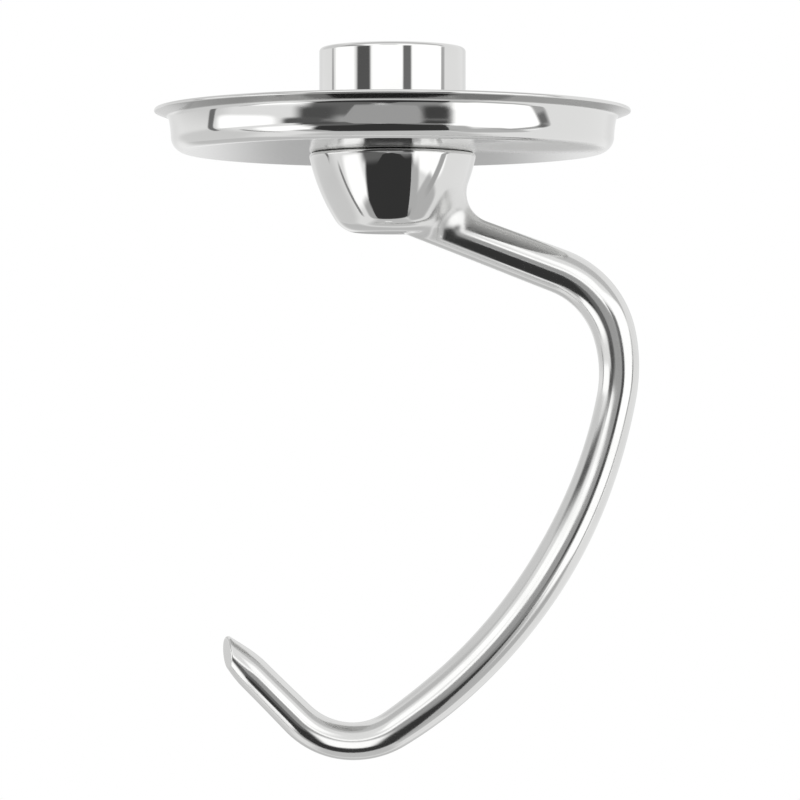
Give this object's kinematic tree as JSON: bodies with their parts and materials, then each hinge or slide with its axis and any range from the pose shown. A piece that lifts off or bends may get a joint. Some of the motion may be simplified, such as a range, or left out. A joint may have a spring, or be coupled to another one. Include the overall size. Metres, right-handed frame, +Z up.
{
  "type": "stand mixer dough hook",
  "caption": "Polished steel C-shaped dough hook with a round drive hub, a dished guard pan and a tapered boss; hangs from a planetary mixer's shaft and kneads dough.",
  "frame": {"origin": "middle of the hub's top face, where the drive bore opens", "axes": "+Z up the drive axis, out of the bore; +X towards the side that the arm bulges to"},
  "size_m": [0.1059, 0.104, 0.1556],
  "materials": {
    "polished_cast_steel": "polished",
    "polished_pressed_steel": "polished"
  },
  "bodies": {
    "root": {"hook_body": "polished_cast_steel", "guard_pan": "polished_pressed_steel"}
  },
  "joints": []
}
